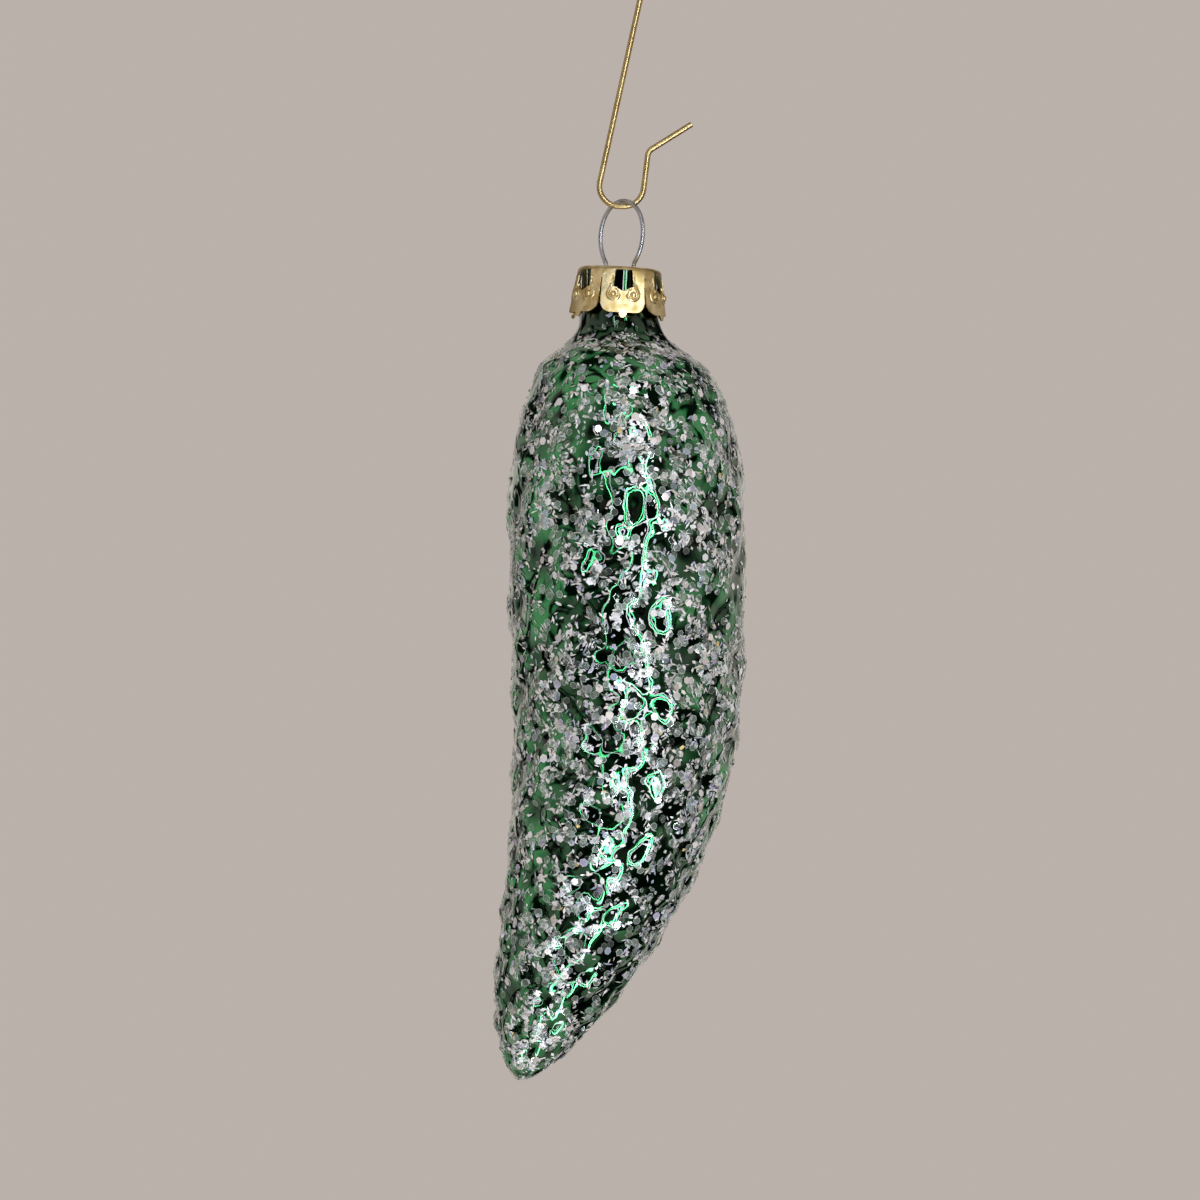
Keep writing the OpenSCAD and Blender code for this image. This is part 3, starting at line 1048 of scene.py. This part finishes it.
@dataclass
class GlitterCoat:
    """One grade of glitter on the cone: how large, how many and how loosely it lies, in millimetres."""

    name: str
    cone: GlassCone
    cut: Cut
    count: int
    width: float
    spread: float
    clear: float
    even: float
    dullness: float
    seed: int
    thick: float = 0.008
    rim: float = 0.08
    rim_cover: float = 0.4
    glue: float = 0.02
    glue_least: float = 0.6
    bedding: float = 0.15
    tilt_deg: float = 5.0
    proud_deg: float = 26.0
    proud_share: float = 1 / 500
    most_lean: float = 1.7
    brushed: Patches = Patches(7.5, 0.82, 1.1, 0.18, (-10.0, 17.9, -12.4))
    crusted: Patches = Patches(1.6, 0.55, 1.6, 0.1)
    hollow_loss: float = 0.84
    top_station: float = 0.08
    low_station: float = 1.98
    samples: int = 800
    neck_share: float = 0.35
    neck_run: float = 0.45
    probe: float = 0.004
    tint_range: Span = (0.66, 1.0)
    cover_range: Span = (0.7, 1.3)

    def flake(self) -> tuple[np.ndarray, list[list[int]], np.ndarray]:
        """Models one flake of unit width: a flat face with a thin cut rim, open where it lies in the glue.

        Returns:
            Its points, its faces, and which of the faces are the rim's.
        """
        deselect()
        bpy.ops.mesh.primitive_cone_add(
            vertices=self.cut.corners,
            radius1=1 / 2,
            radius2=1 / 2 - self.rim,
            depth=self.thick,
            end_fill_type="NGON",
        )
        mesh = bpy.context.object.data
        bpy.ops.object.mode_set(mode="EDIT")
        bpy.ops.mesh.select_all(action="DESELECT")
        bpy.ops.object.mode_set(mode="OBJECT")
        for face in mesh.polygons:
            face.select = face.normal.z < 0
        bpy.ops.object.mode_set(mode="EDIT")
        bpy.ops.mesh.delete(type="ONLY_FACE")
        bpy.ops.object.mode_set(mode="OBJECT")
        points = np.array([v.co[:] for v in mesh.vertices])
        faces = [list(f.vertices) for f in mesh.polygons]
        on_rim = np.array([f.center.xy.length > self.rim for f in mesh.polygons])
        bpy.data.objects.remove(bpy.context.object)
        bpy.data.meshes.remove(mesh)
        return points, faces, on_rim

    def scatter(self, rng: np.random.Generator) -> tuple[np.ndarray, np.ndarray]:
        """Picks where flakes lie: thin by the neck, thick on the scales, and in patches like brushed glue.

        Args:
            rng: The seeded source of numbers.

        Returns:
            Stations and angles.
        """
        p = np.linspace(self.top_station, self.low_station, self.samples)
        s = self.cone.depth(p)
        r = self.cone.radius(p)
        area = np.concatenate([[0], np.cumsum((r[1:] + r[:-1]) * np.hypot(np.diff(s), np.diff(r)))])
        at = np.interp(rng.random(self.count) * area[-1], area, p)
        turn = rng.random(self.count) * 2 * np.pi
        here = self.cone.skin(at, turn)
        rise = ease((at - self.top_station) / self.neck_run)
        neck = self.neck_share + (1 - self.neck_share) * rise
        crest = 1 - self.hollow_loss * self.cone.hollow(self.cone.depth(at), turn)
        sticks = crest * self.brushed.share(here) * self.crusted.share(here)
        keep = rng.random(self.count) < neck * (self.even + (1 - self.even) * sticks)
        return at[keep], turn[keep]

    def frames(
        self, p: np.ndarray, turn: np.ndarray, size: np.ndarray, rng: np.random.Generator
    ) -> tuple[np.ndarray, np.ndarray, np.ndarray, np.ndarray]:
        """Works out each flake's place and its tilted axes.

        Args:
            p: Stations.
            turn: Angles about the cone's middle.
            size: Widths of the flakes.
            rng: The seeded source of numbers.

        Returns:
            Centres, two axes in the flake's plane and its normal.
        """
        at = self.cone.skin(p, turn)
        down = self.cone.skin(p + self.probe, turn) - self.cone.skin(p - self.probe, turn)
        around = self.cone.skin(p, turn + self.probe) - self.cone.skin(p, turn - self.probe)
        out = unit(np.cross(down, around))
        # A few flakes stand up from the glue
        proud = rng.random(len(p)) < self.proud_share
        tilt = np.radians(np.where(proud, self.proud_deg, self.tilt_deg))
        lean = rng.uniform(0, self.most_lean, len(p)) * tilt
        across = unit(np.cross(out, unit(rng.normal(size=out.shape))))
        normal = out * np.cos(lean)[:, None] + across * np.sin(lean)[:, None]
        side = unit(np.cross(normal, unit(rng.normal(size=normal.shape))))
        other = np.cross(normal, side)
        bed = self.glue * (self.glue_least + rng.random(len(p)))
        lift = bed + self.bedding * size * np.sin(lean)
        return at + out * lift[:, None], side, other, normal

    def lay(self, points: np.ndarray, rng: np.random.Generator) -> np.ndarray:
        """Lays copies of the flake on the cone, each with its own size, place and raggedness.

        Args:
            points: Points of a flake of unit width.
            rng: The seeded source of numbers.

        Returns:
            Points of every flake in the frame, in metres.
        """
        p, turn = self.scatter(rng)
        n = len(p)
        size = self.width * (1 + self.spread * rng.uniform(-1, 1, n))
        centre, side, other, normal = self.frames(p, turn, size, rng)
        ragged = self.cut.ragged
        long = np.sqrt(self.cut.slender) * (1 + ragged * rng.uniform(-1, 1, n))
        stretch = np.stack([size * long, size / long, np.ones(n)], axis=-1)
        shape = points[None, :, :] * stretch[:, None, :]
        shape[:, :, :2] *= rng.uniform(1 - ragged, 1 + ragged, (n, len(points), 1))
        world = (
            centre[:, None, :]
            + shape[:, :, :1] * side[:, None, :]
            + shape[:, :, 1:2] * other[:, None, :]
            + shape[:, :, 2:] * normal[:, None, :]
        )
        matrix = np.array(self.cone.hanging.matrix())
        return world @ matrix[:3, :3].T + matrix[:3, 3]

    def films(self, n: int, rng: np.random.Generator) -> tuple[np.ndarray, np.ndarray]:
        """Picks each flake's film.

        Args:
            n: How many flakes there are.
            rng: The seeded source of numbers.

        Returns:
            Colours, with the dullness as their alpha, and how much each flake hides.
        """
        films = list(Film)
        shares = np.array([film.share for film in films])
        shares = (1 - self.clear) * shares / shares.sum()
        shares[films.index(Film.CLEAR)] = self.clear
        pick = rng.choice(len(films), size=n, p=shares)
        tint = np.array([film.colour for film in films])[pick]
        tint = tint * rng.uniform(*self.tint_range, n)[:, None]
        tint[:, 3] = rng.uniform(self.dullness, 1, n)
        cover = np.array([film.cover for film in films])[pick] * rng.uniform(*self.cover_range, n)
        return tint, cover

    def build(self, low: Vector, high: Vector) -> bpy.types.Object:
        """Lays the whole grade as one mesh, each flake with its own film colour and dullness.

        Args:
            low: Lowest corner that the part may reach, in metres.
            high: Highest corner that the part may reach, in metres.

        Returns:
            The finished object, in place.
        """
        rng = np.random.default_rng(self.seed)
        points, faces, on_rim = self.flake()
        world = self.lay(points, rng)
        tint, cover = self.films(len(world), rng)
        inside = ((world > np.array(low)) & (world < np.array(high))).all(axis=(1, 2))
        world = world[inside]
        corners = len(points)
        all_faces = [[v + i * corners for v in f] for i in range(len(world)) for f in faces]
        mesh = bpy.data.meshes.new(self.name)
        mesh.from_pydata(world.reshape(-1, 3).tolist(), [], all_faces)
        layer = mesh.attributes.new(TINT_LAYER, "FLOAT_COLOR", "POINT")
        layer.data.foreach_set("color", np.repeat(tint[inside], corners, axis=0).ravel())
        hidden = cover[inside][:, None] + self.rim_cover * on_rim[None, :]
        layer = mesh.attributes.new(COVER_LAYER, "FLOAT", "FACE")
        layer.data.foreach_set("value", np.clip(hidden, 0, 1).ravel())
        mesh.update()
        return add_object(self.name, mesh)


@dataclass(frozen=True)
class SoftBox:
    """One lamp that faces the ornament: its angles from the camera, and its size in metres."""

    name: str
    turn_deg: float
    rise_deg: float
    distance: float
    size: Span
    watts: float
    colour: str = "#F1F5FF"

    def build(self, target: Vector) -> None:
        """Hangs the lamp.

        Args:
            target: The place that it faces.
        """
        data = bpy.data.lights.new(self.name, "AREA")
        data.shape = "RECTANGLE"
        data.size, data.size_y = self.size
        data.energy = self.watts
        data.color = linear(self.colour)[:3]
        turn = math.radians(self.turn_deg)
        rise = math.radians(self.rise_deg)
        level = math.cos(rise)
        way = Vector((math.sin(turn) * level, -math.cos(turn) * level, math.sin(rise)))
        obj = add_object(self.name, data)
        obj.location = target + way * self.distance
        obj.rotation_euler = way.to_track_quat("Z", "Y").to_euler()


@dataclass
class Studio:
    """Floor, light and camera: a level view from in front, in metres."""

    frame_width: float = 0.165
    centre_x: float = -0.00297
    centre_z: float = -0.10814
    distance: float = 0.7
    sensor_mm: float = 36.0
    clip: Span = (0.01, 20)
    floor_z: float = -0.9
    floor_r: float = 0.5
    floor_sides: int = 96
    floor_roughness: float = 0.8
    floor_colour: str = "#D9D4CF"
    backdrop: str = "#BBB1AB"
    dark: str = "#1A1D1E"
    pale: str = "#CBC2BB"
    front_span: Span = (-0.97, -0.5)
    behind_span: Span = (0.86, 0.97)
    screen_scale: float = 2.6
    screen_detail: float = 1.5
    screen_span: Span = (0.42, 0.54)
    dark_corner: tuple[float, float, float] = (0.7, -0.2, -0.69)
    corner_span: Span = (0.93, 0.68)
    lamps: tuple[SoftBox, ...] = (
        SoftBox("key", turn_deg=13, rise_deg=-7, distance=0.8, size=(0.027, 1.3), watts=2.7),
        SoftBox("second_key", turn_deg=21, rise_deg=-7, distance=0.8, size=(0.027, 1.3), watts=2.7),
        SoftBox("fill", turn_deg=-16, rise_deg=2, distance=0.8, size=(0.024, 2.0), watts=1.5),
        SoftBox("low", turn_deg=-4, rise_deg=-62, distance=0.75, size=(0.05, 0.6), watts=1.2),
    )

    def camera(self) -> None:
        """Puts the camera at the photograph's angle."""
        data = bpy.data.cameras.new("camera")
        data.sensor_width = self.sensor_mm
        data.lens = self.sensor_mm * self.distance / self.frame_width
        data.clip_start, data.clip_end = self.clip
        obj = add_object("camera", data)
        obj.location = (self.centre_x, -self.distance, self.centre_z)
        obj.rotation_euler = (math.pi / 2, 0, 0)
        bpy.context.scene.camera = obj

    def world(self) -> None:
        """Lights the studio: the eye sees the pale backdrop, and mirrors also see the dark in front."""
        world = bpy.data.worlds.new("studio")
        bpy.context.scene.world = world
        world.use_nodes = True
        tree = world.node_tree
        tree.nodes.clear()
        path = add_node(tree, "ShaderNodeLightPath")
        way = add_node(tree, "ShaderNodeTexCoord")
        split = add_node(tree, "ShaderNodeSeparateXYZ", {"Vector": way.outputs["Generated"]})
        front = add_node(
            tree,
            "ShaderNodeMapRange",
            {"Value": split.outputs["Y"], **mapped(self.front_span)},
            interpolation_type="SMOOTHSTEP",
        )
        # Pale and dark screens stand about the studio; straight behind hangs the backdrop alone
        screens = add_node(
            tree,
            "ShaderNodeTexNoise",
            {
                "Vector": way.outputs["Generated"],
                "Scale": self.screen_scale,
                "Detail": self.screen_detail,
            },
        )
        bright = add_node(
            tree,
            "ShaderNodeMapRange",
            {"Value": screens.outputs["Fac"], **mapped(self.screen_span)},
            interpolation_type="SMOOTHSTEP",
        )
        behind = add_node(
            tree,
            "ShaderNodeMapRange",
            {"Value": split.outputs["Y"], **mapped(self.behind_span)},
            interpolation_type="SMOOTHSTEP",
        )
        around = add_node(
            tree,
            "ShaderNodeMath",
            {0: bright.outputs["Result"], 1: behind.outputs["Result"]},
            operation="MAXIMUM",
        )
        # A dark corner lies low on the right
        corner = add_node(
            tree,
            "ShaderNodeVectorMath",
            {0: way.outputs["Generated"], 1: self.dark_corner},
            operation="DOT_PRODUCT",
        )
        clear = add_node(
            tree,
            "ShaderNodeMapRange",
            {"Value": corner.outputs["Value"], **mapped(self.corner_span)},
            interpolation_type="SMOOTHSTEP",
        )
        open_front = add_node(
            tree,
            "ShaderNodeMath",
            {0: front.outputs["Result"], 1: clear.outputs["Result"]},
            operation="MULTIPLY",
        )
        lit = add_node(
            tree,
            "ShaderNodeMath",
            {0: open_front.outputs["Value"], 1: around.outputs["Value"]},
            operation="MULTIPLY",
        )
        seen = add_node(
            tree,
            "ShaderNodeMix",
            {"Factor": lit.outputs["Value"], "A": linear(self.dark), "B": linear(self.pale)},
            data_type="RGBA",
        )
        plain = add_node(
            tree,
            "ShaderNodeMix",
            {
                "Factor": path.outputs["Is Glossy Ray"],
                "A": linear(self.backdrop),
                "B": seen.outputs["Result"],
            },
            data_type="RGBA",
        )
        glow = add_node(
            tree, "ShaderNodeBackground", {"Color": plain.outputs["Result"], "Strength": 1.0}
        )
        add_node(tree, "ShaderNodeOutputWorld", {"Surface": glow.outputs["Background"]})

    def floor(self) -> None:
        """Lays a plain pale floor below the hanging ornament."""
        deselect()
        bpy.ops.mesh.primitive_circle_add(
            vertices=self.floor_sides,
            radius=self.floor_r,
            fill_type="NGON",
            location=(0, 0, self.floor_z),
        )
        obj = bpy.context.object
        obj.name = "floor"
        material, tree = empty_material("pale_floor")
        shader = add_node(
            tree,
            "ShaderNodeBsdfPrincipled",
            {"Base Color": linear(self.floor_colour), "Roughness": self.floor_roughness},
        )
        add_node(tree, "ShaderNodeOutputMaterial", {"Surface": shader.outputs["BSDF"]})
        dress(obj, material)
        obj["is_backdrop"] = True

    def build(self) -> None:
        """Sets up everything around the ornament."""
        self.camera()
        self.world()
        self.floor()
        for lamp in self.lamps:
            lamp.build(Vector((self.centre_x, 0, self.centre_z)))


def main() -> None:
    """Builds and dresses the ornament, piece by piece."""
    logging.basicConfig(level=logging.INFO, format="%(name)s: %(message)s")
    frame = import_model()
    cad_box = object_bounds()
    bpy.context.scene.view_settings.view_transform = "Standard"
    Studio().build()

    nodes = frame["nodes"]
    dress(nodes["tree_hook"], PlatedWire("gold_plated_wire", "#E4CE96", "#B0945C").build())
    dress(nodes["spring_loop"], PlatedWire("bright_steel_wire", "#E0E2E6", "#A2A3A9").build())
    LOG.info("hook and loop dressed")

    hanging = Hanging()
    cap = CrownCap(hanging)
    gold = StampedGoldSheet().build()
    for piece in (cap.pressed(nodes["crown_cap"]), cap.scrolls()):
        dress(piece, gold)
        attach(piece, "cap")
        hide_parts("crown_cap")
        LOG.info("%s: %d faces", piece.name, len(piece.data.polygons))

    cone = GlassCone(hanging)
    glass = cone.build()
    dress(glass, SilveredGreenGlass().build())
    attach(glass, "cone")
    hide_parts("glass_cone")
    LOG.info("%s: %d faces", glass.name, len(glass.data.polygons))

    film = AluminisedFilm().build()
    coats = [
        GlitterCoat(
            "hexagon_glitter",
            cone,
            Cut.HEXAGON,
            count=15000,
            width=1.1,
            spread=0.12,
            clear=0.86,
            even=0.06,
            dullness=0.0,
            seed=11,
        ),
        GlitterCoat(
            "sliver_glitter",
            cone,
            Cut.SLIVER,
            count=31000,
            width=0.45,
            spread=0.4,
            clear=0.15,
            even=0.0,
            dullness=0.6,
            seed=23,
        ),
        GlitterCoat(
            "shard_glitter",
            cone,
            Cut.SHARD,
            count=25000,
            width=0.5,
            spread=0.45,
            clear=0.2,
            even=0.0,
            dullness=0.5,
            seed=37,
        ),
    ]
    low, high = (Vector(corner) for corner in cad_box)
    for coat in coats:
        flakes = coat.build(low, high)
        dress(flakes, film)
        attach(flakes, "cone")
        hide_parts("glitter_flakes")
        LOG.info("%s: %d faces", coat.name, len(flakes.data.polygons))


if __name__ == "__main__":
    main()
